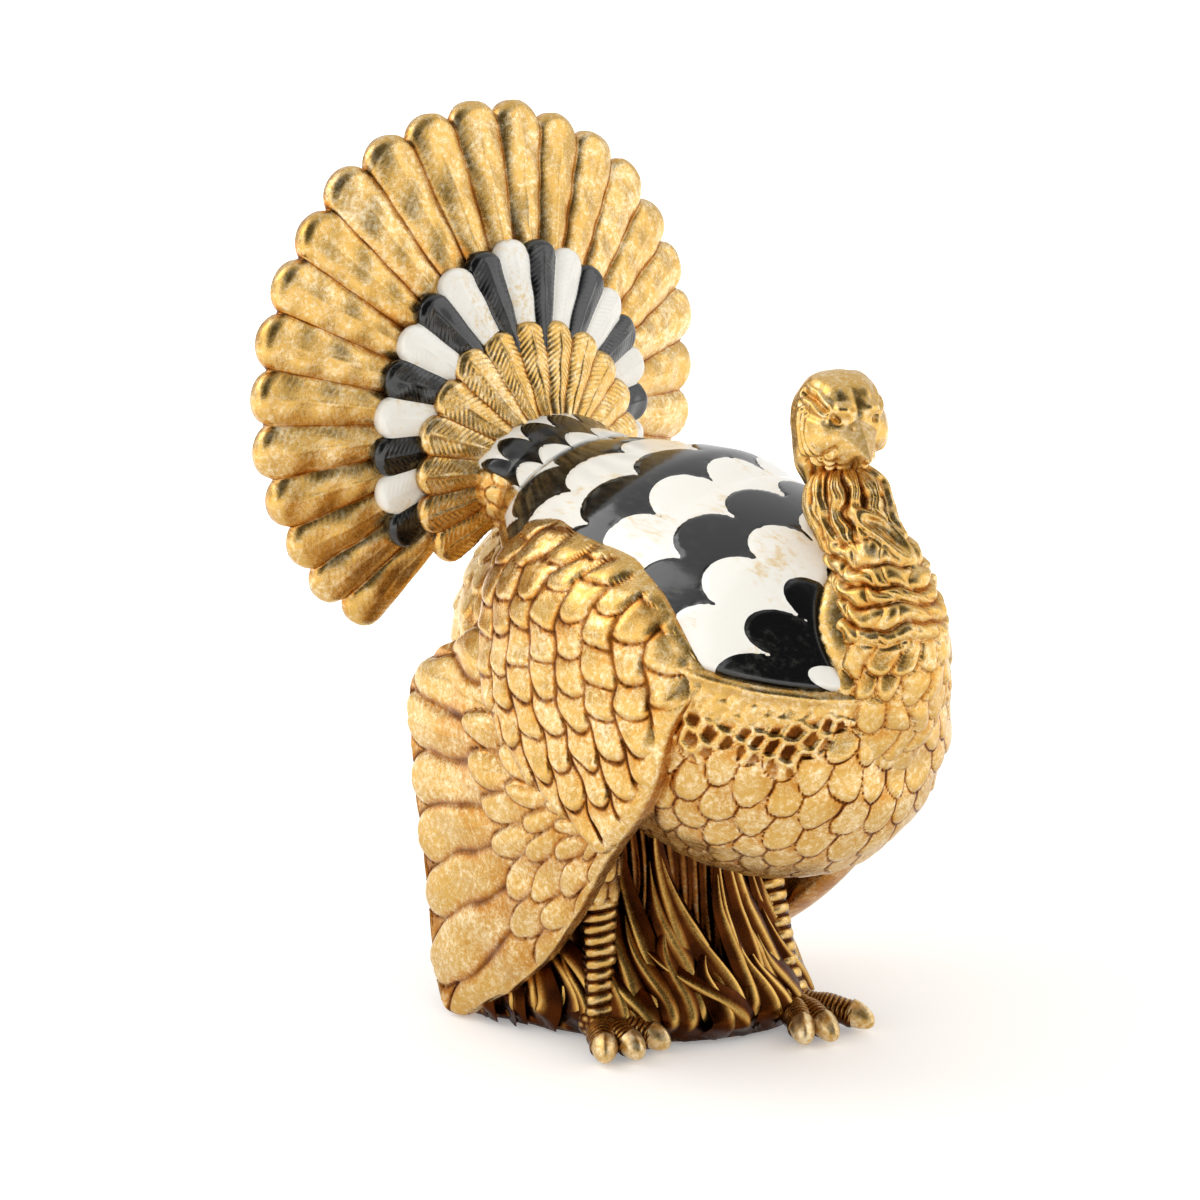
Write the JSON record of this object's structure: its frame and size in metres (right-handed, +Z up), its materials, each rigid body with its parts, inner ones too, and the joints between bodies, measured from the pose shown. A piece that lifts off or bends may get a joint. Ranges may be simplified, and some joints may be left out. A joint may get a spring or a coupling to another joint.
{
  "type": "turkey figure",
  "caption": "Standing turkey figure with a fanned tail in three feather rows, drooping wings and a turned head, on a grass mound with a felt pad.",
  "frame": {"origin": "point on the felt pad's underside, below the middle of the body, on the plane that the figure stands on", "axes": "+Z up, the bird faces -Y, its right side is at -X"},
  "size_m": [0.2695, 0.2925, 0.4095],
  "materials": {
    "gilded_resin": "gold leaf with an umber glaze in the grooves, over cast resin",
    "enamelled_resin": "glossy ivory and black enamel over cast resin",
    "umber_resin": "dark umber glaze with gilded high points, over cast resin",
    "felt": "dense felt",
    "plug_rubber": "matt",
    "pin_steel": "plain drawn wire",
    "dowel_wood": "bare beech"
  },
  "bodies": {
    "root": {"breast_shell": "gilded_resin", "back_shell": "enamelled_resin", "tail_root": "enamelled_resin", "tail_outer_row": "gilded_resin", "tail_middle_row": "enamelled_resin", "tail_inner_row": "gilded_resin", "undertail_coverts": "gilded_resin", "right_wing_shield": "gilded_resin", "left_wing_shield": "gilded_resin", "right_wing_flights": "gilded_resin", "left_wing_flights": "gilded_resin", "neck": "gilded_resin", "head": "gilded_resin", "right_leg": "umber_resin", "right_foot": "umber_resin", "left_leg": "umber_resin", "left_foot": "umber_resin", "grass_base": "umber_resin", "felt_pad": "felt", "pour_hole_plug": "plug_rubber", "neck_pin": "pin_steel", "tail_pin_right": "pin_steel", "tail_pin_left": "pin_steel", "right_wing_pin_front": "pin_steel", "left_wing_pin_front": "pin_steel", "right_wing_pin_rear": "pin_steel", "left_wing_pin_rear": "pin_steel", "right_leg_rod": "pin_steel", "left_leg_rod": "pin_steel", "body_dowel_front": "dowel_wood", "body_dowel_rear": "dowel_wood"}
  },
  "joints": []
}
